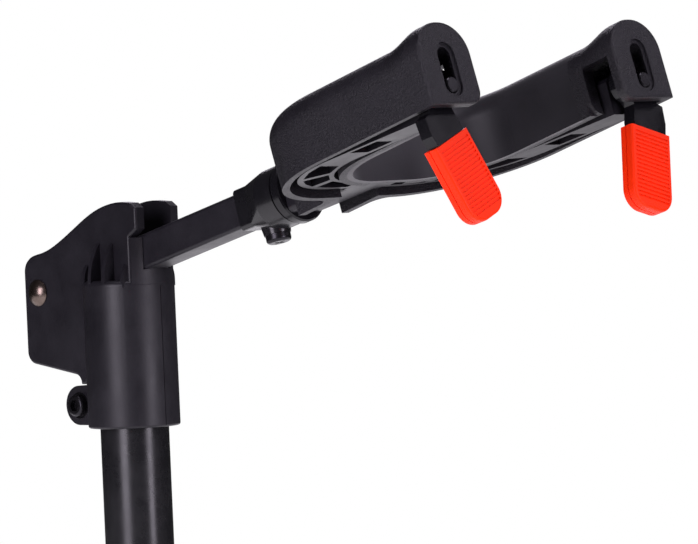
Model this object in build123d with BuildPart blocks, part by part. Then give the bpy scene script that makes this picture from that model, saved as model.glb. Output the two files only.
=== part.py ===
from build123d import *
import math
import os

# Head of a guitar rack: a moulded bracket clamped on a round mast, a square steel
# arm that folds over the mast's top, and a self-closing neck yoke.
# Millimetres. +Z up along the mast, +X forward along the arm, Y across.
# The origin is the centre of the mast tube's lower end.

os.makedirs("parts", exist_ok=True)

# ---------------------------------------------------------------- mast and bracket
MAST_R = 11.1            # 7/8 in tube
MAST_WALL = 1.5
MAST_SEAT_R = 10.85      # swaged top of the tube, inside the bracket
BR_Z = 120.0             # height of the bracket's lower face
MAST_TOP = BR_Z + 40.0
SLEEVE_R = 14.85
SLEEVE_H = 47.5
PLATE_Y = 9.6            # outer face of each clevis plate
SLOT_Y = 5.85            # half the gap between the plates
PIV_X = -33.0            # folding pivot
PIV_Z = BR_Z + 44.0
RIVET_R = 2.5
LUG_X, LUG_Z, LUG_R = -16.4, BR_Z + 7.3, 6.4
LUG_Y = 8.6
CLAMP_R = 2.5

# ---------------------------------------------------------------- arm
ARM_DEG = 15.0           # rise of the arm at rest
ARM_W = 11.1             # square tube, 7/16 in
ARM_WALL = 1.2
ARM_REAR = -6.5          # along the arm, from the pivot
ARM_FRONT = 99.8
COL_SQ = 13.4            # collar, square end
COL_R = 9.8              # collar, round end
COL_T0, COL_T1 = 94.5, 113.4
STOP_T = 103.2           # stop screw
STEM_R = 6.8
STEM_BORE = 6.88
STEM_T0 = 101.2
FLANGE_R = 10.3
HUB_T0, HUB_T1 = 117.6, 146.0
STEM_HUB_R = 4.5

# ---------------------------------------------------------------- yoke
CRADLE_TILT = 2.5        # cradle above the arm's line, at rest
E_X, E_Z = 189.2, BR_Z + 97.7      # foot of the prongs' end faces, on the centre plane
HALF_OUT = 53.1          # outer half width
RO, CO_L, CO_Y = 38.0, -51.5, 15.1     # outer corner arcs
HALF_IN = 31.5           # half the neck gap
RI, CI_L, CI_Y = 24.0, -48.0, 7.5      # inner corner arcs
TIP_N = 25.4             # height of its flared tips
WALL = 2.4
PAD_T = 1.8
PIN_Y, PIN_N = 42.4, 6.05
PIN_R = 2.4
SLOT_R = 2.6
SLOT_TOP = 15.2          # pin centre at the slot's top
HINGE_L = -98.0
HINGE_R = 2.0
GATE_LEAN = 20.0         # lean of the tabs at rest
TAB_W = 16.6            # gate tabs
LEV_L0, LEV_L1 = -9.7, -5.4      # lever, rear and front face
TAB_L0, TAB_L1 = -10.4, -5.1     # tab, rear and front face

ca, sa = math.cos(math.radians(ARM_DEG)), math.sin(math.radians(ARM_DEG))
K_DEG = ARM_DEG + CRADLE_TILT
ck, sk = math.cos(math.radians(K_DEG)), math.sin(math.radians(K_DEG))

R0 = Vector(PIV_X, 0, PIV_Z)
E0 = Vector(E_X, 0, E_Z)


def apt(t, y, n):
    """Point in the arm's frame: along the arm, across, above."""
    return Vector(R0.X + t * ca - n * sa, y, R0.Z + t * sa + n * ca)


def kpt(l, y, n):
    """Point in the cradle's frame: forward of the end faces, across, above."""
    return Vector(E0.X + l * ck - n * sk, y, E0.Z + l * sk + n * ck)


PA_DIR, NA_DIR = Vector(ca, 0, sa), Vector(-sa, 0, ca)
PK_DIR, NK_DIR = Vector(ck, 0, sk), Vector(-sk, 0, ck)
Y_DIR = Vector(0, 1, 0)


def a_plan(n):
    """Plan plane of the arm at height n: x along the arm, y across."""
    return Plane(origin=apt(0, 0, n), x_dir=PA_DIR, z_dir=NA_DIR)


def a_sect(t):
    """Cross plane of the arm at t: x across, y up, normal forward."""
    return Plane(origin=apt(t, 0, 0), x_dir=Y_DIR, z_dir=PA_DIR)


def k_plan(n):
    return Plane(origin=kpt(0, 0, n), x_dir=PK_DIR, z_dir=NK_DIR)


def k_sect(l):
    return Plane(origin=kpt(l, 0, 0), x_dir=Y_DIR, z_dir=PK_DIR)


def k_side(y):
    """Side plane of the cradle: x forward, y up, normal towards -Y."""
    return Plane(origin=kpt(0, y, 0), x_dir=PK_DIR, z_dir=Vector(0, -1, 0))


def a_side(y):
    return Plane(origin=apt(0, y, 0), x_dir=PA_DIR, z_dir=Vector(0, -1, 0))


# hinge of the cradle, on the arm's own axis
# height in the cradle's frame of the arm's axis at HINGE_L
d = kpt(HINGE_L, 0, 0) - R0
HN_K = -(-d.X * sa + d.Z * ca) / math.cos(math.radians(CRADLE_TILT))
H0 = kpt(HINGE_L, 0, HN_K)
HINGE_T = (H0 - R0).X * ca + (H0 - R0).Z * sa
d = kpt(0, 0, 0) - R0
E_T, E_NA = d.X * ca + d.Z * sa, -d.X * sa + d.Z * ca
d = kpt(0, 0, PIN_N) - R0
PIN_T, PIN_NA = d.X * ca + d.Z * sa, -d.X * sa + d.Z * ca
print("hinge point", [round(v, 3) for v in (H0.X, H0.Y, H0.Z)], "t", round(HINGE_T, 3), "n", round(HN_K, 3))
print("pin line t", round(PIN_T, 3), "na", round(PIN_NA, 3), "end face t", round(E_T, 3), "na", round(E_NA, 3))
drop = SLOT_TOP - PIN_N
DROP_DEG = math.degrees(drop / abs(HINGE_L))
print("cradle travel", round(drop, 2), "mm, angle", round(DROP_DEG, 3), "deg")


# ================================================================ mast tube
with BuildPart() as mast_tube:
    with BuildSketch(Plane.XY):
        Circle(MAST_R)
        Circle(MAST_R - MAST_WALL, mode=Mode.SUBTRACT)
    extrude(amount=MAST_TOP)
    with BuildSketch(Plane.XY.offset(BR_Z - 0.1)):
        Circle(MAST_R + 1)
        Circle(MAST_SEAT_R, mode=Mode.SUBTRACT)
    extrude(amount=MAST_TOP, mode=Mode.SUBTRACT)
    ends = mast_tube.edges().filter_by(GeomType.CIRCLE).group_by(Axis.Z)
    chamfer(ends[0] + ends[-1], length=0.3)

# plug that closes the tube's top and takes the bracket's stop
with BuildPart() as mast_plug:
    with BuildSketch(Plane.XY.offset(MAST_TOP)):
        Circle(10.4)
    extrude(amount=1.6)
    chamfer(mast_plug.edges().sort_by(Axis.Z)[-1], length=0.4)

# ================================================================ head bracket
# clevis plates: one outline, slotted later
with BuildPart() as plates:
    with BuildSketch(Plane.XZ.offset(-PLATE_Y)) as plate_sk:
        with BuildLine():
            Spline([(-37.4, BR_Z + 55.0), (-31.5, BR_Z + 56.9), (-23.0, BR_Z + 60.2), (-13.0, BR_Z + 65.9),
                    (-3.5, BR_Z + 70.6), (7.0, BR_Z + 72.6), (12.6, BR_Z + 72.2)],
                   tangents=[(0.75, 0.66), (1.0, -0.08)])
            Line((12.6, BR_Z + 72.2), (14.9, BR_Z + 70.6))
            Line((14.9, BR_Z + 70.6), (14.9, BR_Z + 63.8))
            Line((14.9, BR_Z + 63.8), (11.25, BR_Z + 61.4))
            Line((11.25, BR_Z + 61.4), (11.25, BR_Z + 40.0))
            Line((11.25, BR_Z + 40.0), (-12.0, BR_Z + 14.2))
            Line((-12.0, BR_Z + 14.2), (-14.3, BR_Z + 14.2))
            ThreePointArc((-14.3, BR_Z + 14.2), (-15.0, BR_Z + 16.3), (-17.0, BR_Z + 17.4))
            Line((-17.0, BR_Z + 17.4), (-36.2, BR_Z + 20.8))
            ThreePointArc((-36.2, BR_Z + 20.8), (-38.6, BR_Z + 22.2), (-39.6, BR_Z + 24.8))
            Line((-39.6, BR_Z + 24.8), (-39.6, BR_Z + 50.6))
            ThreePointArc((-39.6, BR_Z + 50.6), (-39.05, BR_Z + 53.1), (-37.4, BR_Z + 55.0))
        make_face()
    extrude(amount=2 * PLATE_Y)
    faces = plates.faces().filter_by(Axis.Y)
    fillet([e for f in faces for e in f.edges() ], radius=0.9)

with BuildPart() as head_bracket:
    # sleeve
    with BuildSketch(Plane.XY.offset(BR_Z)):
        Circle(SLEEVE_R)
    extrude(amount=SLEEVE_H)
    fillet(head_bracket.edges().filter_by(GeomType.CIRCLE).sort_by(Axis.Z)[-1], radius=1.8)
    fillet(head_bracket.edges().filter_by(GeomType.CIRCLE).sort_by(Axis.Z)[0], radius=0.8)
    add(plates.part)
    # the sleeve's front runs on up to the arm
    with BuildSketch(Plane.XY.offset(BR_Z + 40.0)):
        with Locations((10.5, 0)):
            Rectangle(9.0, 2 * PLATE_Y - 0.7)
        Circle(SLEEVE_R - 0.06, mode=Mode.INTERSECT)
    extrude(amount=21.0)
    # clamp lugs
    with BuildSketch(Plane.XZ.offset(-LUG_Y)):
        with Locations((LUG_X, LUG_Z)):
            Circle(LUG_R)
        with BuildLine():
            Polyline((LUG_X, LUG_Z + LUG_R), (-6.0, LUG_Z + LUG_R), (-6.0, LUG_Z - LUG_R), (LUG_X, LUG_Z - LUG_R),
                     (LUG_X, LUG_Z + LUG_R))
        make_face()
    extrude(amount=2 * LUG_Y)
    # gusset ribs on the shoulder, both sides
    for sgn in (-1, 1):
        for gx, gh in ((-9.1, 53.0), (-3.2, 59.8), (3.2, 59.8), (9.1, 53.0)):
            yo = math.sqrt(SLEEVE_R ** 2 - gx ** 2) - 0.25
            zt = BR_Z + gh
            with BuildSketch(Plane(origin=(gx - 0.7, 0, 0), x_dir=(0, 1, 0), z_dir=(1, 0, 0))):
                with BuildLine():
                    Line((sgn * (PLATE_Y - 1.0), BR_Z + 45.0), (sgn * yo, BR_Z + 45.0))
                    Line((sgn * yo, BR_Z + 45.0), (sgn * yo, BR_Z + 47.0))
                    ThreePointArc((sgn * yo, BR_Z + 47.0),
                                  (sgn * (PLATE_Y + 0.62 * (yo - PLATE_Y)), BR_Z + 47.0 + 0.62 * (gh - 47.0)),
                                  (sgn * (PLATE_Y - 0.2), zt))
                    Line((sgn * (PLATE_Y - 0.2), zt), (sgn * (PLATE_Y - 1.0), zt))
                    Line((sgn * (PLATE_Y - 1.0), zt), (sgn * (PLATE_Y - 1.0), BR_Z + 45.0))
                make_face()
            extrude(amount=1.4)
    # slot for the arm: floor slopes with the arm, front lip carries it
    with BuildSketch(Plane.XZ.offset(-SLOT_Y)):
        zf = lambda x: PIV_Z + (x - PIV_X) * sa / ca - (ARM_W / 2) / ca
        with BuildLine():
            Polyline((-60.0, BR_Z + 90), (30.0, BR_Z + 90), (30.0, zf(30.0) - 0.05), (10.5, zf(10.5) - 0.05),
                     (10.5, zf(10.5) - 0.8), (-15.1, zf(-15.1) - 0.8), (-15.1, BR_Z - 5), (-60.0, BR_Z - 5),
                     (-60.0, BR_Z + 90))
        make_face()
    extrude(amount=2 * SLOT_Y, mode=Mode.SUBTRACT)
    # lugs close the rear of the sleeve again below the plates
    with BuildSketch(Plane.XZ.offset(-LUG_Y)):
        with Locations((LUG_X, LUG_Z)):
            Circle(LUG_R)
        with BuildLine():
            Polyline((LUG_X, LUG_Z + LUG_R), (-12.0, LUG_Z + LUG_R), (-12.0, LUG_Z - LUG_R), (LUG_X, LUG_Z - LUG_R),
                     (LUG_X, LUG_Z + LUG_R))
        make_face()
    extrude(amount=2 * LUG_Y)
    # bore for the mast
    with BuildSketch(Plane.XY.offset(BR_Z - 1)):
        Circle(MAST_SEAT_R)
    extrude(amount=MAST_TOP - BR_Z + 2.6, mode=Mode.SUBTRACT)
    with BuildSketch(Plane.XY.offset(BR_Z - 1)):
        Circle(MAST_R)
    extrude(amount=1.2, mode=Mode.SUBTRACT)
    # clamp slit behind the mast
    with BuildSketch(Plane.XZ.offset(-0.9)):
        with Locations((-20.0, BR_Z + 10.5)):
            Rectangle(24.0, 25.0)
    extrude(amount=1.8, mode=Mode.SUBTRACT)
    # pivot hole, clamp hole, counterbore and nut pocket
    with BuildSketch(Plane.XZ.offset(-20)):
        with Locations((PIV_X, PIV_Z)):
            Circle(RIVET_R)
    extrude(amount=40, mode=Mode.SUBTRACT)
    with BuildSketch(Plane.XZ.offset(-20)):
        with Locations((LUG_X, LUG_Z)):
            Circle(CLAMP_R + 0.15)
    extrude(amount=40, mode=Mode.SUBTRACT)
    with BuildSketch(Plane.XZ.offset(-LUG_Y - 1)):
        with Locations((LUG_X, LUG_Z)):
            RegularPolygon(radius=4.0, side_count=6, major_radius=False)
    extrude(amount=1 + 3.0, mode=Mode.SUBTRACT)
    with BuildSketch(Plane.XZ.offset(LUG_Y + 1)):
        with Locations((LUG_X, LUG_Z)):
            Circle(4.25)
    extrude(amount=-1 - 1.0, mode=Mode.SUBTRACT)
    # mould parting groove down the sleeve's front
    with BuildSketch(Plane.XY.offset(BR_Z - 1)):
        with Locations((SLEEVE_R, 0)):
            Rectangle(0.36, 0.3)
    extrude(amount=46.5, mode=Mode.SUBTRACT)

# ================================================================ clamp screw, washer and nut
with BuildPart() as clamp_screw:
    yh = -(LUG_Y - 1.0) - 0.8
    with BuildSketch(Plane(origin=(LUG_X, yh, LUG_Z), x_dir=(1, 0, 0), z_dir=(0, -1, 0))):
        Circle(3.5)
    extrude(amount=2.7)
    fillet(clamp_screw.edges().filter_by(GeomType.CIRCLE).sort_by(Axis.Y)[0], radius=0.9)
    with BuildSketch(Plane(origin=(LUG_X, yh - 2.7, LUG_Z), x_dir=(1, 0, 0), z_dir=(0, 1, 0))):
        RegularPolygon(radius=1.75, side_count=6, major_radius=False)
    extrude(amount=1.8, mode=Mode.SUBTRACT)
    with BuildSketch(Plane(origin=(LUG_X, yh, LUG_Z), x_dir=(1, 0, 0), z_dir=(0, 1, 0))):
        Circle(CLAMP_R)
    extrude(amount=LUG_Y + LUG_Y - 0.4)

with BuildPart() as clamp_washer:
    with BuildSketch(Plane(origin=(LUG_X, -(LUG_Y - 1.0), LUG_Z), x_dir=(1, 0, 0), z_dir=(0, -1, 0))):
        Circle(4.1)
        Circle(CLAMP_R, mode=Mode.SUBTRACT)
    extrude(amount=0.8)

with BuildPart() as clamp_nut:
    with BuildSketch(Plane(origin=(LUG_X, LUG_Y - 3.0, LUG_Z), x_dir=(1, 0, 0), z_dir=(0, 1, 0))):
        RegularPolygon(radius=3.95, side_count=6, major_radius=False)
        Circle(CLAMP_R, mode=Mode.SUBTRACT)
    extrude(amount=2.6)

# ================================================================ pivot rivet, bush, washers
with BuildPart() as pivot_rivet:
    with BuildSketch(Plane.XZ.offset(-PLATE_Y)):
        with Locations((PIV_X, PIV_Z)):
            Circle(RIVET_R)
    extrude(amount=2 * PLATE_Y)
    for off, out in ((PLATE_Y, 0.35), (-PLATE_Y, -0.35)):
        with BuildSketch(Plane.XZ.offset(off)):
            with Locations((PIV_X, PIV_Z)):
                Circle(4.3)
        extrude(amount=out)
for side in (-1, 1):
    cap_r = 5.6
    with BuildPart(mode=Mode.PRIVATE) as dome:
        with Locations((PIV_X, side * (PLATE_Y + 0.35 - math.sqrt(cap_r ** 2 - 4.28 ** 2)), PIV_Z)):
            Sphere(cap_r)
        with Locations((PIV_X, side * (PLATE_Y + 0.3 + 5.0), PIV_Z)):
            Box(20, 10.0, 20, mode=Mode.INTERSECT)
    pivot_rivet.part = pivot_rivet.part + dome.part

with BuildPart() as pivot_bush:
    with BuildSketch(Plane(origin=(PIV_X, -ARM_W / 2 - 0.1, PIV_Z), x_dir=(1, 0, 0), z_dir=(0, 1, 0))):
        Circle(3.6)
        Circle(RIVET_R + 0.06, mode=Mode.SUBTRACT)
    extrude(amount=ARM_W + 0.2)

# ================================================================ arm tube
with BuildPart() as arm_tube:
    with BuildSketch(a_sect(ARM_REAR)):
        RectangleRounded(ARM_W, ARM_W, 1.2)
        RectangleRounded(ARM_W - 2 * ARM_WALL, ARM_W - 2 * ARM_WALL, 0.6, mode=Mode.SUBTRACT)
    extrude(amount=ARM_FRONT - ARM_REAR)
    with BuildSketch(Plane.XZ.offset(-20)):
        with Locations((PIV_X, PIV_Z)):
            Circle(3.6)
    extrude(amount=40, mode=Mode.SUBTRACT)

with BuildPart() as arm_end_plug:
    with BuildSketch(a_sect(ARM_REAR)):
        RectangleRounded(ARM_W - 2 * ARM_WALL, ARM_W - 2 * ARM_WALL, 0.6)
    extrude(amount=2.6)
    with BuildSketch(a_sect(ARM_REAR)):
        RectangleRounded(ARM_W, ARM_W, 1.2)
    extrude(amount=-1.4)
    chamfer(arm_end_plug.faces().sort_by(lambda f: f.center().dot(PA_DIR))[0].edges(), length=0.5)

# ================================================================ arm collar, square to round
with BuildPart() as arm_collar:
    with BuildSketch(a_sect(COL_T0)):
        RectangleRounded(COL_SQ, COL_SQ, 1.7)
    extrude(amount=5.0)
    with BuildSketch(a_sect(COL_T0 + 5.0)):
        RectangleRounded(COL_SQ, COL_SQ, 1.7)
    with BuildSketch(a_sect(COL_T0 + 11.5)):
        RectangleRounded(2 * COL_R, 2 * COL_R, COL_R - 0.05)
    loft()
    with BuildSketch(a_sect(COL_T0 + 11.5)):
        RectangleRounded(2 * COL_R, 2 * COL_R, COL_R - 0.05)
    extrude(amount=COL_T1 - COL_T0 - 11.5)
    # boss under the stop screw
    with BuildSketch(a_plan(-10.5)):
        with Locations((STOP_T, 0)):
            Circle(4.3)
    extrude(amount=6.0, taper=-8)
    # square socket, round bore, screw hole
    with BuildSketch(a_sect(COL_T0 - 1)):
        RectangleRounded(ARM_W, ARM_W, 1.2)
    extrude(amount=ARM_FRONT - COL_T0 + 1, mode=Mode.SUBTRACT)
    with BuildSketch(a_sect(STEM_T0 - 0.2)):
        Circle(STEM_BORE)
    extrude(amount=30, mode=Mode.SUBTRACT)
    with BuildSketch(a_plan(-15)):
        with Locations((STOP_T, 0)):
            Circle(2.0)
    extrude(amount=12, mode=Mode.SUBTRACT)
    # cross hole of the collar's roll pin, from above
    with BuildSketch(a_plan(2.0)):
        with Locations((COL_T0 + 2.8, 0)):
            Circle(1.2)
    extrude(amount=6, mode=Mode.SUBTRACT)


# roll pin that holds the collar on the square tube
with BuildPart() as collar_pin:
    with BuildSketch(a_plan(ARM_W / 2 - ARM_WALL - 1.2)):
        with Locations((COL_T0 + 2.8, 0)):
            Circle(1.2)
            Circle(0.7, mode=Mode.SUBTRACT)
    extrude(amount=COL_SQ / 2 - ARM_W / 2 + ARM_WALL + 1.1)

with BuildPart(mode=Mode.PRIVATE) as pin_hole:
    with BuildSketch(a_plan(0.0)):
        with Locations((COL_T0 + 2.8, 0)):
            Circle(1.2)
    extrude(amount=12)
arm_tube_part = arm_tube.part - pin_hole.part

# ================================================================ stop screw of the swivel
with BuildPart() as stop_screw:
    with BuildSketch(a_plan(-10.55)):
        with Locations((STOP_T, 0)):
            Circle(4.0)
    extrude(amount=-2.6)
    low = stop_screw.faces().sort_by(lambda f: f.center().dot(NA_DIR))[0]
    fillet(low.edges(), radius=1.2)
    for w, h in ((4.4, 0.9), (0.9, 4.4)):
        with BuildSketch(a_plan(-13.4)):
            with Locations((STOP_T, 0)):
                Rectangle(w, h)
        extrude(amount=1.9, taper=12, mode=Mode.SUBTRACT)
    with BuildSketch(a_plan(-10.55)):
        with Locations((STOP_T, 0)):
            Circle(2.0)
    extrude(amount=3.6)
    with BuildSketch(a_plan(-6.95)):
        with Locations((STOP_T, 0)):
            Circle(1.5)
    extrude(amount=1.85)

# ================================================================ stem of the yoke
STOP_DEG = 40.0
with BuildPart() as yoke_stem:
    with BuildSketch(a_sect(STEM_T0 + 0.2)):
        Circle(STEM_R)
    extrude(amount=113.9 - STEM_T0 - 0.2)
    chamfer(yoke_stem.edges().filter_by(GeomType.CIRCLE), length=0.5)
    with BuildSketch(a_sect(113.0)):
        Circle(STEM_HUB_R)
    extrude(amount=139.0 - 113.0)
    # arc groove that the stop screw runs in
    half = STOP_DEG + 18.5
    rad = Vector(0, -math.sin(math.radians(half)), 0) + NA_DIR * (-math.cos(math.radians(half)))
    zdir = PA_DIR.cross(rad)
    with BuildSketch(Plane(origin=R0, x_dir=PA_DIR, z_dir=zdir)):
        with Locations((STOP_T, (4.7 + 7.4) / 2)):
            Rectangle(3.9, 7.4 - 4.7)
    revolve(axis=Axis((R0.X, R0.Y, R0.Z), (ca, 0, sa)), revolution_arc=2 * half, mode=Mode.SUBTRACT)
    # cross hole of the cradle's hinge pin
    with BuildSketch(Plane(origin=H0, x_dir=(1, 0, 0), z_dir=(0, 1, 0))):
        Circle(HINGE_R)
    extrude(amount=10, both=True, mode=Mode.SUBTRACT)

with BuildPart() as swivel_washer:
    with BuildSketch(a_sect(113.9)):
        Circle(FLANGE_R)
        Circle(STEM_HUB_R + 0.05, mode=Mode.SUBTRACT)
    extrude(amount=3.5)
    chamfer(swivel_washer.edges().filter_by(GeomType.CIRCLE).group_by(SortBy.RADIUS)[-1], length=0.5)


def u_plan(a, b, lf, dl=0.0):
    """Outline of the yoke's U: a inside its outer face, b outside its inner face,
    open ends at lf. dl shifts it along the prongs."""
    ho, ro, hi, ri = HALF_OUT - a, RO - a, HALF_IN + b, RI + b
    q = math.sqrt(0.5)
    co, ci = CO_L + dl, CI_L + dl
    lf = lf + dl
    Line((lf, -ho), (co, -ho))
    ThreePointArc((co, -ho), (co - ro * q, -CO_Y - ro * q), (co - ro, -CO_Y))
    Line((co - ro, -CO_Y), (co - ro, CO_Y))
    ThreePointArc((co - ro, CO_Y), (co - ro * q, CO_Y + ro * q), (co, ho))
    Line((co, ho), (lf, ho))
    Line((lf, ho), (lf, hi))
    Line((lf, hi), (ci, hi))
    ThreePointArc((ci, hi), (ci - ri * q, CI_Y + ri * q), (ci - ri, CI_Y))
    Line((ci - ri, CI_Y), (ci - ri, -CI_Y))
    ThreePointArc((ci - ri, -CI_Y), (ci - ri * q, -CI_Y - ri * q), (ci, -hi))
    Line((ci, -hi), (lf, -hi))
    Line((lf, -hi), (lf, -ho))


# ================================================================ frame of the yoke
FR_LO, FR_HI = -7.4, 4.3
with BuildPart() as yoke_frame:
    with BuildSketch(a_plan(FR_LO)):
        with BuildLine():
            u_plan(5.1, 5.5, -11.3, E_T)
        make_face()
    extrude(amount=FR_HI - FR_LO)
    top = yoke_frame.faces().sort_by(lambda f: f.center().dot(NA_DIR))[-1]
    chamfer([e for e in top.edges() if e.center().dot(PA_DIR) < apt(E_T - 13.0, 0, 0).dot(PA_DIR)], length=1.4)
    # hub round the stem
    with BuildSketch(a_sect(HUB_T0)):
        with Locations((0, 0)):
            RectangleRounded(15.2, 14.8, 2.2)
    extrude(amount=HUB_T1 - HUB_T0)
    # webs that tie the hub to the rear bar
    with BuildSketch(a_plan(FR_LO)):
        with BuildLine():
            Polyline((E_T - 86.4, -7.6), (E_T - 77.6, -7.6), (E_T - 77.6, 7.6), (E_T - 86.4, 7.6), (E_T - 86.4, -7.6))
        make_face()
    extrude(amount=FR_HI - FR_LO)
    # pockets, open below
    depth = 8.6
    q = math.sqrt(0.5)
    for sgn in (-1, 1):
        def arcpt(r, deg, c):
            return (E_T + c[0] - r * math.cos(math.radians(deg)), sgn * (c[1] + r * math.sin(math.radians(deg))))
        co, ci = (CO_L, CO_Y), (CI_L, CI_Y)
        with BuildSketch(a_plan(FR_LO - 0.1)):
            # slim pocket in the prong
            with BuildLine():
                Polyline((E_T - 43.0, sgn * 38.8), (E_T - 32.0, sgn * 39.2), (E_T - 31.6, sgn * 46.3),
                         (E_T - 43.4, sgn * 46.4), (E_T - 43.0, sgn * 38.8))
            make_face()
            # corner pockets
            with BuildLine():
                Polyline(arcpt(31.1, 50, co), arcpt(31.1, 66, co), arcpt(31.1, 80, co), arcpt(31.2, 72, ci),
                         arcpt(31.2, 56, ci), arcpt(31.1, 50, co))
            make_face()
            with BuildLine():
                Polyline(arcpt(31.1, 22, co), arcpt(31.1, 34, co), arcpt(31.1, 45, co), arcpt(31.2, 51, ci),
                         arcpt(31.2, 36, ci), arcpt(31.1, 22, co))
            make_face()
            with BuildLine():
                Polyline((E_T - 82.6, sgn * 9.4), arcpt(31.1, 2, co), arcpt(31.1, 16, co), arcpt(31.2, 30, ci),
                         arcpt(31.2, 8, ci), (E_T - 79.2, sgn * 9.4), (E_T - 82.6, sgn * 9.4))
            make_face()
        extrude(amount=depth + 0.1, mode=Mode.SUBTRACT)
    # stem bore, hinge pin hole, gate pin holes, spring seat
    with BuildSketch(a_sect(HUB_T0 - 1)):
        Circle(STEM_HUB_R)
    extrude(amount=139.0 - HUB_T0 + 1, mode=Mode.SUBTRACT)
    with BuildSketch(Plane(origin=H0, x_dir=(1, 0, 0), z_dir=(0, 1, 0))):
        Circle(HINGE_R)
    extrude(amount=20, both=True, mode=Mode.SUBTRACT)
    with BuildSketch(a_sect(PIN_T - 30.0)):
        with Locations((-PIN_Y, PIN_NA), (PIN_Y, PIN_NA)):
            Circle(PIN_R)
    extrude(amount=30, mode=Mode.SUBTRACT)
    with BuildSketch(a_plan(-0.4)):
        with Locations((E_T - 81.0, 0)):
            Circle(3.6)
    extrude(amount=12, mode=Mode.SUBTRACT)

with BuildPart() as hinge_pin:
    with BuildSketch(Plane(origin=H0 + Vector(0, -10.8, 0), x_dir=(1, 0, 0), z_dir=(0, 1, 0))):
        Circle(HINGE_R)
    extrude(amount=21.6)
    chamfer(hinge_pin.edges().filter_by(GeomType.CIRCLE), length=0.3)

gate_pin = {}
for nm, sgn in (("left", -1), ("right", 1)):
    with BuildPart() as gp:
        with BuildSketch(a_sect(PIN_T - 30.0)):
            with Locations((sgn * PIN_Y, PIN_NA)):
                Circle(PIN_R)
        extrude(amount=29.8)
        chamfer(gp.edges().filter_by(GeomType.CIRCLE), length=0.35)
    gate_pin[nm] = gp.part

# return spring between the frame and the roof of the cradle
SP_T = E_T - 81.0
SP_N0 = -0.4
with BuildPart() as spring_coil:
    with BuildLine() as hx:
        Helix(pitch=2.5, height=9.9, radius=2.6)
    with BuildSketch(Plane(origin=hx.line @ 0, z_dir=hx.line % 0)):
        Circle(0.4)
    sweep(path=hx.line, is_frenet=True)
return_spring = spring_coil.part.moved(
    Location(Plane(origin=apt(SP_T, 0, SP_N0 + 0.45), x_dir=PA_DIR, z_dir=NA_DIR)))


# ================================================================ cradle
TOP = 22.2                       # height of the top along the sides
ROUND = 8.0                      # rounding of the top edges
TIP_ROUND = 10.2
TIP_L = -16.0                    # where the raised ends of the prongs begin


def on_l(pt):
    d = pt - E0
    return d.X * ck + d.Z * sk


def on_n(pt):
    d = pt - E0
    return -d.X * sk + d.Z * ck


def cradle_block(a, b, lf, foot, top, rad, tunnel, l_rear):
    """U of the cradle with its rear tunnel, from foot to top, top edges rounded."""
    with BuildPart(mode=Mode.PRIVATE) as blk:
        with BuildSketch(k_plan(foot)):
            with BuildLine():
                u_plan(a, b, lf)
            make_face()
            if tunnel > 0:
                with BuildLine():
                    r = 5.0 + a
                    xr = CO_L - RO + a
                    h = r * (1 - math.sqrt(0.5))
                    Line((l_rear, -tunnel), (xr - r, -tunnel))
                    ThreePointArc((xr - r, -tunnel), (xr - h, -tunnel - h), (xr, -tunnel - r))
                    Line((xr, -tunnel - r), (xr + 4.0, -tunnel - r))
                    Line((xr + 4.0, -tunnel - r), (xr + 4.0, tunnel + r))
                    Line((xr + 4.0, tunnel + r), (xr, tunnel + r))
                    ThreePointArc((xr, tunnel + r), (xr - h, tunnel + h), (xr - r, tunnel))
                    Line((xr - r, tunnel), (l_rear, tunnel))
                    Line((l_rear, tunnel), (l_rear, -tunnel))
                make_face()
        extrude(amount=top - foot)
        if rad > 0:
            edges = []
            for e in blk.edges():
                p0, p1 = e @ 0, e @ 1
                if min(on_n(p0), on_n(p1)) < top - 0.01:
                    continue
                if abs(on_l(p0) - lf) < 0.01 and abs(on_l(p1) - lf) < 0.01:
                    continue
                edges.append(e)
            fillet(edges, radius=rad)
    return blk.part


def end_outline(height, sgn, low=0.0, a=0.0, b=0.0, r=ROUND):
    """D-shaped section of a prong, in the (Y, n) plane."""
    y0, y1 = sgn * (HALF_IN + b), sgn * (HALF_OUT - a)
    h = r * (1 - math.sqrt(0.5))
    Line((y0, low), (y0, height - r))
    ThreePointArc((y0, height - r), (y0 + sgn * h, height - h), (y0 + sgn * r, height))
    Line((y0 + sgn * r, height), (y1 - sgn * r, height))
    ThreePointArc((y1 - sgn * r, height), (y1 - sgn * h, height - h), (y1, height - r))
    Line((y1, height - r), (y1, low))
    Line((y1, low), (y0, low))


full = cradle_block(0, 0, TIP_L, 0.0, TOP, ROUND, 11.0, -104.0)
for sgn in (-1, 1):
    with BuildPart(mode=Mode.PRIVATE) as tip:
        for l, f in ((TIP_L, 0.0), (-13.0, 0.14), (-10.2, 0.46), (-7.4, 0.83), (-4.6, 1.0)):
            with BuildSketch(k_sect(l)):
                with BuildLine():
                    end_outline(TOP + f * (TIP_N - TOP), sgn, r=ROUND + f * (TIP_ROUND - ROUND))
                make_face()
        loft()
        with BuildSketch(k_sect(-4.6)):
            with BuildLine():
                end_outline(TIP_N, sgn, r=TIP_ROUND)
            make_face()
        extrude(amount=4.6)
        foot_in = [e for e in tip.edges() if abs(on_n(e.center())) < 0.01 and abs(abs(e.center().Y) - HALF_IN) < 0.01
                   and on_l(e.center()) > -4.6]
        fillet(foot_in, radius=4.2)
        front = tip.faces().sort_by(lambda f: f.center().dot(PK_DIR))[-1]
        fillet(front.edges(), radius=0.9)
    full = full + tip.part
print("full", full.is_valid, round(full.volume, 1), len(full.solids()))

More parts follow.
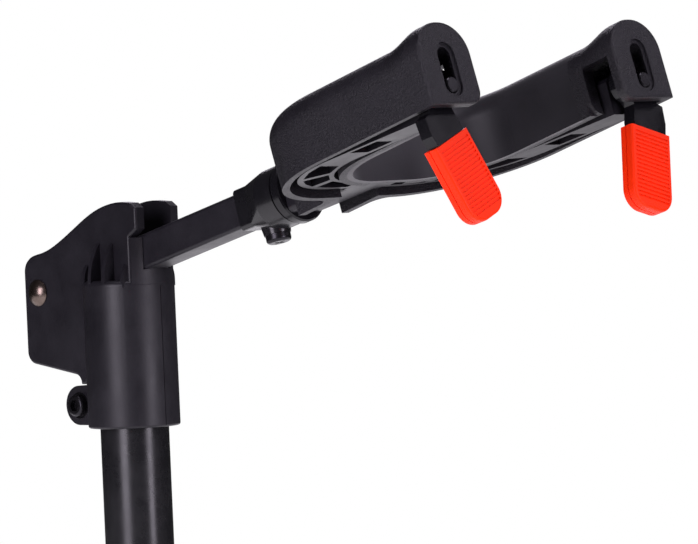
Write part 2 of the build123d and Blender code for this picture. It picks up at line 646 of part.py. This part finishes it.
# lining: over the inner wall and the inner half of the rounded top
PAD_END = -20.0
with BuildPart(mode=Mode.PRIVATE) as zone:
    with BuildSketch(k_plan(-1.0)):
        with BuildLine():
            u_plan(2 * (HALF_OUT - HALF_IN) / 2 - 8.2, -1.0, PAD_END)
        make_face()
    extrude(amount=40)
core = cradle_block(0, PAD_T, TIP_L, -2.0, TOP - PAD_T, ROUND - PAD_T, 0, 0)
pad = (full & zone.part) - core
print("pad", pad.is_valid, round(pad.volume, 1), len(pad.solids()))

cavity = cradle_block(WALL, 4.2, -3.4, -1.0, TOP - WALL, 4.4, 0, 0)
shell = full - pad - cavity
print("shell", shell.is_valid, round(shell.volume, 1), len(shell.solids()))

with BuildPart(mode=Mode.PRIVATE) as cuts:
    # tunnel for the hub
    with BuildSketch(k_plan(-1.0)):
        with BuildLine():
            Polyline((-106.0, -8.0), (-74.4, -8.0), (-74.4, 8.0), (-106.0, 8.0), (-106.0, -8.0))
        make_face()
    extrude(amount=TOP - WALL + 1.0)
    for sgn in (-1, 1):
        # gate window in the inner wall
        with BuildSketch(k_side(sgn * 26.0 if sgn < 0 else 36.2)):
            with BuildLine():
                Line((-14.2, -1.0), (-14.2, 13.3))
                ThreePointArc((-14.2, 13.3), (-13.76, 14.36), (-12.7, 14.8))
                Line((-12.7, 14.8), (-3.4, 14.8))
                Line((-3.4, 14.8), (-3.4, -1.0))
                Line((-3.4, -1.0), (-14.2, -1.0))
            make_face()
        extrude(amount=10.2)
        # slot of the gate pin, with a shallow recess round it
        with BuildSketch(k_sect(-5.0)):
            with Locations((sgn * PIN_Y, (PIN_N + SLOT_TOP) / 2)):
                SlotOverall(SLOT_TOP - PIN_N + 2 * SLOT_R, 2 * SLOT_R, rotation=90)
        extrude(amount=7.0)
        with BuildSketch(k_sect(-0.8)):
            with Locations((sgn * PIN_Y, (PIN_N + SLOT_TOP) / 2)):
                SlotOverall(SLOT_TOP - PIN_N + 2 * SLOT_R + 2.4, 2 * SLOT_R + 2.4, rotation=90)
        extrude(amount=3.0)
        # headroom over the gate's hub
        with BuildSketch(k_plan(19.0)):
            with Locations((-8.2, sgn * 42.6)):
                Rectangle(9.6, 9.4)
        extrude(amount=2.4)
    # hinge pin holes in the cheeks
    with BuildSketch(Plane(origin=H0, x_dir=(1, 0, 0), z_dir=(0, 1, 0))):
        Circle(HINGE_R + 0.05)
    extrude(amount=14, both=True)
with BuildPart(mode=Mode.PRIVATE) as ribs:
    for sgn in (-1, 1):
        # ribs that press on the gate levers
        with BuildSketch(k_side(-50.9 if sgn < 0 else 48.8)):
            with BuildLine():
                Polyline((-11.2, 9.05), (-5.4, 9.05), (-3.0, 11.0), (-3.0, 21.0), (-11.2, 21.0), (-11.2, 9.05))
            make_face()
        extrude(amount=-2.1)
with BuildPart(mode=Mode.PRIVATE) as pads:
    for sgn in (-1, 1):
        # thicker end wall round the slot
        with BuildSketch(k_sect(-4.5)):
            with Locations((sgn * PIN_Y, 14.0)):
                Rectangle(10.6, 11.6)
        extrude(amount=1.3)
shell = (shell + (pads.part & full)) - cuts.part + (ribs.part & full)
print("shell", shell.is_valid, round(shell.volume, 1), len(shell.solids()))

# ================================================================ gates
def gate_plane(sgn, l):
    """Cross plane of the arm through the gate's pin: x towards the gap, y up."""
    r = math.radians(GATE_REST["left" if sgn < 0 else "right"])
    return Plane(origin=apt(E_T + l, sgn * PIN_Y, PIN_NA),
                 x_dir=Vector(0, -sgn, 0) * math.cos(r) + NA_DIR * math.sin(r),
                 z_dir=Vector(0, -sgn, 0).cross(NA_DIR))


TAB_A = (-2.2, -14.65)
TAB_B = (5.8, -39.35)
tl = math.dist(TAB_A, TAB_B)
tu, tv = (TAB_B[0] - TAB_A[0]) / tl, (TAB_B[1] - TAB_A[1]) / tl


def tab_pt(along, side):
    """Point on the tab: along its axis from the root, to the side (+ towards the gap)."""
    return (TAB_A[0] + tu * along - tv * side, TAB_A[1] + tv * along + tu * side)


def tab_outline(inset=0.0, root=0.0):
    hw, r, L = TAB_W / 2 - inset, 6.0 - inset, tl - inset
    h = r * (1 - math.sqrt(0.5))
    Line(tab_pt(root, -hw), tab_pt(L - r, -hw))
    ThreePointArc(tab_pt(L - r, -hw), tab_pt(L - h, -hw + h), tab_pt(L, -hw + r))
    Line(tab_pt(L, -hw + r), tab_pt(L, hw - r))
    ThreePointArc(tab_pt(L, hw - r), tab_pt(L - h, hw - h), tab_pt(L - r, hw))
    Line(tab_pt(L - r, hw), tab_pt(root, hw))
    Line(tab_pt(root, hw), tab_pt(root, -hw))


GATE_REST = {"left": 4.5, "right": -1.5}      # play of each gate at rest, inward, degrees
gates = {}
for nm, sgn in (("left", -1), ("right", 1)):
    s1 = -sgn
    with BuildPart() as lever:
        with BuildSketch(gate_plane(sgn, LEV_L1 if s1 < 0 else LEV_L0)):
            with BuildLine():
                Polyline((-6.5, 1.5), (-3.6, 4.0), (3.6, 3.2), (5.1, 0.6), (4.4, -2.6), (2.0, -6.2), (3.9, -10.9),
                         (4.1, -12.2), tab_pt(0, 6.6), tab_pt(0, -6.6), (-9.7, -13.4), (-10.3, -7.8), (-8.0, -6.6), (-8.0, 0.0),
                         (-6.5, 1.5))
            make_face()
            Circle(5.2)
            with Locations((0.7, 0.5)):
                Circle(5.6)
            Circle(PIN_R + 0.06, mode=Mode.SUBTRACT)
        extrude(amount=LEV_L1 - LEV_L0)
        # tongue that the tab is moulded over
        with BuildSketch(gate_plane(sgn, -6.9 if s1 < 0 else -8.5)):
            with BuildLine():
                Polyline(tab_pt(-1.6, -4.0), tab_pt(11.0, -3.2), tab_pt(11.0, 3.2), tab_pt(-1.6, 4.0), tab_pt(-1.6, -4.0))
            make_face()
        extrude(amount=1.6)
    with BuildPart() as tab:
        with BuildSketch(gate_plane(sgn, TAB_L1 if s1 < 0 else TAB_L0)):
            with BuildLine():
                tab_outline(0.0, 0.12)
            make_face()
        extrude(amount=TAB_L1 - TAB_L0)
        ends = tab.faces().filter_by(lambda f: abs(f.normal_at().dot(PA_DIR)) > 0.99)
        long_edges = [e for f in ends for e in f.edges()
                      if (e.center() - apt(E_T - 7.7, sgn * PIN_Y, PIN_NA)).dot(NA_DIR) < -17.5]
        fillet(long_edges, radius=0.8)
        # parting line
        with BuildSketch(gate_plane(sgn, -7.75 if s1 < 0 else -8.05)):
            with BuildLine():
                tab_outline(-1.0, -1.0)
            make_face()
            with BuildLine():
                tab_outline(0.3, -2.0)
            make_face(mode=Mode.SUBTRACT)
        extrude(amount=0.3, mode=Mode.SUBTRACT)
        # ribbed panels, front and back
        for l in (TAB_L1, TAB_L0):
            out = 1 if l == TAB_L1 else -1
            with BuildSketch(gate_plane(sgn, l)):
                for k in range(17):
                    c = 1.7 + k * 1.3
                    w = 6.9 if c < tl - 5.6 else 6.9 - 5.2 * (1 - math.sqrt(max(0.0, 1 - ((c - tl + 5.6) / 5.2) ** 2)))
                    with BuildLine():
                        Polyline(tab_pt(c, -w), tab_pt(c + 0.62, -w), tab_pt(c + 0.62, w), tab_pt(c, w), tab_pt(c, -w))
                    make_face()
            extrude(amount=0.35 * (-1 if out * s1 > 0 else 1), mode=Mode.SUBTRACT)
        with BuildSketch(gate_plane(sgn, -6.9 if s1 < 0 else -8.5)):
            with BuildLine():
                Polyline(tab_pt(-1.6, -4.0), tab_pt(11.0, -3.2), tab_pt(11.0, 3.2), tab_pt(-1.6, 4.0), tab_pt(-1.6, -4.0))
            make_face()
        extrude(amount=1.6, mode=Mode.SUBTRACT)
    gates[nm] = (lever.part, tab.part)
    print("gate", nm, gates[nm][0].is_valid, round(lever.part.volume, 1), len(lever.part.solids()),
          tab.part.is_valid, round(tab.part.volume, 1), len(tab.part.solids()))

# ================================================================ export
nodes = {
    "mast_tube": mast_tube.part, "mast_plug": mast_plug.part, "head_bracket": head_bracket.part,
    "clamp_screw": clamp_screw.part, "clamp_washer": clamp_washer.part, "clamp_nut": clamp_nut.part,
    "pivot_rivet": pivot_rivet.part, "pivot_bush": pivot_bush.part,
    "arm_tube": arm_tube_part, "arm_end_plug": arm_end_plug.part, "arm_collar": arm_collar.part,
    "collar_pin": collar_pin.part, "stop_screw": stop_screw.part, "yoke_stem": yoke_stem.part,
    "swivel_washer": swivel_washer.part, "yoke_frame": yoke_frame.part, "hinge_pin": hinge_pin.part,
    "gate_pin_left": gate_pin["left"], "gate_pin_right": gate_pin["right"],
    "return_spring": return_spring, "cradle_shell": shell, "neck_lining": pad,
    "gate_lever_left": gates["left"][0], "gate_tab_left": gates["left"][1],
    "gate_lever_right": gates["right"][0], "gate_tab_right": gates["right"][1],
}
for name, shape in nodes.items():
    shape.label = name
    export_step(shape, "parts/" + name + ".step")
print("exported", len(nodes), "nodes")
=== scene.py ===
import math

import bmesh
import bpy
from mathutils import Matrix, Vector

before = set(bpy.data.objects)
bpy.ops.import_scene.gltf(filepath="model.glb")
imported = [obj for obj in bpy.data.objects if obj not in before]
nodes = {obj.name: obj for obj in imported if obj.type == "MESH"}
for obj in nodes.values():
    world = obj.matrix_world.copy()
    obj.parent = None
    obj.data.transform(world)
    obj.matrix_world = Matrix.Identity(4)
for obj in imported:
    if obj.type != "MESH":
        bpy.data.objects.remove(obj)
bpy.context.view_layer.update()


# ---------------------------------------------------------------- materials
def link(nt, a, b):
    nt.links.new(a, b)


def moulded(name, color, rough, coarse=900.0, bump=0.25, dist=0.00012, vary=0.06, spec=0.3, coat=0.0, metal=0.0,
            speck=0.25, scratches=0.0, sheen=0.0):
    """Procedural surface: fine grain in the bump, slow variation in colour and roughness."""
    m = bpy.data.materials.new(name)
    m.use_nodes = True
    nt = m.node_tree
    b = nt.nodes["Principled BSDF"]
    b.inputs["Metallic"].default_value = metal
    b.inputs["Specular IOR Level"].default_value = spec
    if coat:
        b.inputs["Coat Weight"].default_value = coat
        b.inputs["Coat Roughness"].default_value = 0.12
    if sheen:
        b.inputs["Sheen Weight"].default_value = sheen
        b.inputs["Sheen Roughness"].default_value = 0.45
    tc = nt.nodes.new("ShaderNodeTexCoord")
    fine = nt.nodes.new("ShaderNodeTexNoise")
    fine.inputs["Scale"].default_value = coarse
    fine.inputs["Detail"].default_value = 3.0
    fine.inputs["Roughness"].default_value = 0.6
    slow = nt.nodes.new("ShaderNodeTexNoise")
    slow.inputs["Scale"].default_value = 55.0
    slow.inputs["Detail"].default_value = 5.0
    slow.inputs["Roughness"].default_value = 0.65
    link(nt, tc.outputs["Object"], fine.inputs["Vector"])
    link(nt, tc.outputs["Object"], slow.inputs["Vector"])
    # colour
    ramp = nt.nodes.new("ShaderNodeValToRGB")
    lo = [max(0.0, c * (1 - vary * 3)) for c in color]
    hi = [min(1.0, c * (1 + vary * 3)) for c in color]
    ramp.color_ramp.elements[0].position = 0.32
    ramp.color_ramp.elements[0].color = (*lo, 1)
    ramp.color_ramp.elements[1].position = 0.68
    ramp.color_ramp.elements[1].color = (*hi, 1)
    link(nt, slow.outputs["Fac"], ramp.inputs["Fac"])
    mix = nt.nodes.new("ShaderNodeMix")
    mix.data_type = "RGBA"
    mix.blend_type = "OVERLAY"
    mix.inputs["Factor"].default_value = speck
    link(nt, ramp.outputs["Color"], mix.inputs[6])
    link(nt, fine.outputs["Fac"], mix.inputs[7])
    link(nt, mix.outputs[2], b.inputs["Base Color"])
    # roughness
    mr = nt.nodes.new("ShaderNodeMapRange")
    mr.inputs["From Min"].default_value = 0.3
    mr.inputs["From Max"].default_value = 0.7
    mr.inputs["To Min"].default_value = max(0.03, rough - 0.07)
    mr.inputs["To Max"].default_value = min(1.0, rough + 0.09)
    link(nt, slow.outputs["Fac"], mr.inputs["Value"])
    link(nt, mr.outputs["Result"], b.inputs["Roughness"])
    # bump
    bp = nt.nodes.new("ShaderNodeBump")
    bp.inputs["Strength"].default_value = bump
    bp.inputs["Distance"].default_value = dist
    link(nt, fine.outputs["Fac"], bp.inputs["Height"])
    if scratches:
        st = nt.nodes.new("ShaderNodeTexNoise")
        st.inputs["Scale"].default_value = 260.0
        st.inputs["Detail"].default_value = 2.0
        mp = nt.nodes.new("ShaderNodeMapping")
        mp.inputs["Scale"].default_value = (1.0, 14.0, 1.0)
        link(nt, tc.outputs["Object"], mp.inputs["Vector"])
        link(nt, mp.outputs["Vector"], st.inputs["Vector"])
        b2 = nt.nodes.new("ShaderNodeBump")
        b2.inputs["Strength"].default_value = scratches
        b2.inputs["Distance"].default_value = 0.00005
        link(nt, st.outputs["Fac"], b2.inputs["Height"])
        link(nt, bp.outputs["Normal"], b2.inputs["Normal"])
        link(nt, b2.outputs["Normal"], b.inputs["Normal"])
    else:
        link(nt, bp.outputs["Normal"], b.inputs["Normal"])
    return m


PURPLE = (0.0085, 0.0075, 0.0105)
BLACK = (0.0055, 0.0052, 0.0066)
MAT = {
    "tube": moulded("tube_paint", BLACK, 0.27, coarse=1400, bump=0.12, dist=0.00005, spec=0.4),
    "bracket": moulded("bracket_nylon", PURPLE, 0.42, coarse=1100, bump=0.22, dist=0.00010),
    "shell": moulded("shell_nylon", (0.0085, 0.0075, 0.0105), 0.43, coarse=1700, bump=1.0, dist=0.00036, speck=0.7),
    "frame": moulded("frame_nylon", PURPLE, 0.40, coarse=1100, bump=0.20),
    "lining": moulded("lining_rubber", PURPLE, 0.50, coarse=1800, bump=0.08, dist=0.00005, sheen=0.15),
    "gloss": moulded("gloss_nylon", BLACK, 0.20, coarse=900, bump=0.05, dist=0.00005, spec=0.22, coat=0.10),
    "collar": moulded("collar_nylon", BLACK, 0.27, coarse=1000, bump=0.10, dist=0.00008, coat=0.2),
    "arm": moulded("arm_powder", PURPLE, 0.40, coarse=1700, bump=0.35, dist=0.00010, speck=0.35),
    "red": moulded("tab_red", (0.95, 0.028, 0.0008), 0.45, coarse=1300, bump=0.10, dist=0.00006, vary=0.02, spec=0.14, speck=0.02),
    "screw": moulded("screw_black", (0.022, 0.021, 0.024), 0.28, coarse=1300, bump=0.10, dist=0.00004, metal=0.8, scratches=0.3),
    "zinc": moulded("zinc_steel", (0.13, 0.10, 0.085), 0.26, coarse=1200, bump=0.12, dist=0.00005, metal=1.0, scratches=0.4),
    "steel": moulded("spring_steel", (0.48, 0.47, 0.46), 0.30, coarse=1200, bump=0.08, dist=0.00004, metal=1.0, scratches=0.3),
}
USE = {
    "mast_tube": "tube", "mast_plug": "bracket", "head_bracket": "bracket", "clamp_screw": "screw",
    "clamp_washer": "screw", "clamp_nut": "zinc", "pivot_rivet": "zinc", "pivot_bush": "gloss", "arm_tube": "arm",
    "arm_end_plug": "bracket", "arm_collar": "collar", "collar_pin": "steel", "stop_screw": "screw",
    "yoke_stem": "zinc", "swivel_washer": "gloss", "yoke_frame": "frame", "hinge_pin": "zinc",
    "gate_pin_left": "screw", "gate_pin_right": "screw", "return_spring": "steel", "cradle_shell": "shell",
    "neck_lining": "lining", "gate_lever_left": "gloss", "gate_tab_left": "red", "gate_lever_right": "gloss",
    "gate_tab_right": "red",
}
for name, ob in nodes.items():
    for s in ob.material_slots:
        s.material = MAT[USE[name]]
    if not ob.material_slots:
        ob.data.materials.append(MAT[USE[name]])
    if name not in ("return_spring",):
        bv = ob.modifiers.new("edge", "BEVEL")
        bv.width = 0.00022
        bv.segments = 2
        bv.limit_method = "ANGLE"
        bv.angle_limit = math.radians(35)
        bv.harden_normals = False

# ---------------------------------------------------------------- floor and backdrop
def new_mesh(name, verts, faces, smooth=False):
    me = bpy.data.meshes.new(name)
    me.from_pydata(verts, [], faces)
    me.update()
    ob = bpy.data.objects.new(name, me)
    bpy.context.scene.collection.objects.link(ob)
    if smooth:
        for p in me.polygons:
            p.use_smooth = True
    return ob


floor_mat = bpy.data.materials.new("floor_pale")
floor_mat.use_nodes = True
fnt = floor_mat.node_tree
fb = fnt.nodes["Principled BSDF"]
fb.inputs["Roughness"].default_value = 0.8
fb.inputs["Specular IOR Level"].default_value = 0.1
fn = fnt.nodes.new("ShaderNodeTexNoise")
fn.inputs["Scale"].default_value = 3.0
fr = fnt.nodes.new("ShaderNodeValToRGB")
fr.color_ramp.elements[0].color = (0.90, 0.90, 0.90, 1)
fr.color_ramp.elements[1].color = (0.94, 0.94, 0.94, 1)
fnt.links.new(fn.outputs["Fac"], fr.inputs["Fac"])
fnt.links.new(fr.outputs["Color"], fb.inputs["Base Color"])
fb.inputs["Emission Color"].default_value = (1, 1, 1, 1)
fb.inputs["Emission Strength"].default_value = 0.7
S = 0.45
floor = new_mesh("floor", [(-S, -S, -0.002), (S, -S, -0.002), (S, S, -0.002), (-S, S, -0.002)], [(0, 1, 2, 3)])
floor.data.materials.append(floor_mat)

# ---------------------------------------------------------------- camera
cam_data = bpy.data.cameras.new("camera")
cam = bpy.data.objects.new("camera", cam_data)
bpy.context.scene.collection.objects.link(cam)
yaw, pitch, roll = math.radians(134.504), math.radians(-1.212), math.radians(-2.461)
d = Vector((math.cos(yaw) * math.cos(pitch), math.sin(yaw) * math.cos(pitch), math.sin(pitch)))
right = d.cross(Vector((0, 0, 1))).normalized()
up = right.cross(d)
R = right * math.cos(roll) + up * math.sin(roll)
U = -right * math.sin(roll) + up * math.cos(roll)
rot = Matrix((R, U, -d)).transposed()
cam.matrix_world = Matrix.Translation(Vector((1.1864, -1.1055, 0.2011))) @ rot.to_4x4()
cam_data.sensor_fit = "HORIZONTAL"
cam_data.sensor_width = 36.0
cam_data.lens = 5023.475 * 36.0 / 698.0
cam_data.clip_start = 0.01
bpy.context.scene.camera = cam


# ---------------------------------------------------------------- light
def area(name, loc, target, size, power, size_y=None, color=(1, 1, 1)):
    ld = bpy.data.lights.new(name, "AREA")
    ld.shape = "RECTANGLE"
    ld.size = size
    ld.size_y = size_y or size
    ld.energy = power
    ld.color = color
    lo = bpy.data.objects.new(name, ld)
    lo.location = loc
    lo.rotation_euler = (Vector(target) - Vector(loc)).to_track_quat("-Z", "Y").to_euler()
    bpy.context.scene.collection.objects.link(lo)
    return lo


C = (0.08, 0, 0.2)
TINT = (1.0, 0.93, 1.07)
area("key", (0.20, -1.40, 0.45), C, 0.60, 17, size_y=1.0, color=TINT)
area("side", (1.45, 0.12, 0.40), C, 0.42, 12, size_y=0.9, color=TINT)
area("face", (0.75, 0.95, 0.95), C, 0.50, 3.5, color=TINT)
area("rim_back", (-0.9, 1.0, 0.9), C, 0.6, 4, color=TINT)
area("top", (0.15, 0.0, 1.40), C, 0.5, 6, color=TINT)

world = bpy.data.worlds.new("studio")
world.use_nodes = True
wnt = world.node_tree
bg = wnt.nodes["Background"]
bg.inputs["Color"].default_value = (1.0, 1.0, 1.0, 1)
bg.inputs["Strength"].default_value = 0.035
bg2 = wnt.nodes.new("ShaderNodeBackground")
bg2.inputs["Color"].default_value = (1.0, 1.0, 1.0, 1)
bg2.inputs["Strength"].default_value = 1.0
lp = wnt.nodes.new("ShaderNodeLightPath")
ms = wnt.nodes.new("ShaderNodeMixShader")
wnt.links.new(lp.outputs["Is Camera Ray"], ms.inputs["Fac"])
wnt.links.new(bg.outputs["Background"], ms.inputs[1])
wnt.links.new(bg2.outputs["Background"], ms.inputs[2])
wnt.links.new(ms.outputs["Shader"], wnt.nodes["World Output"].inputs["Surface"])
bpy.context.scene.world = world
bpy.context.scene.view_settings.view_transform = "Standard"
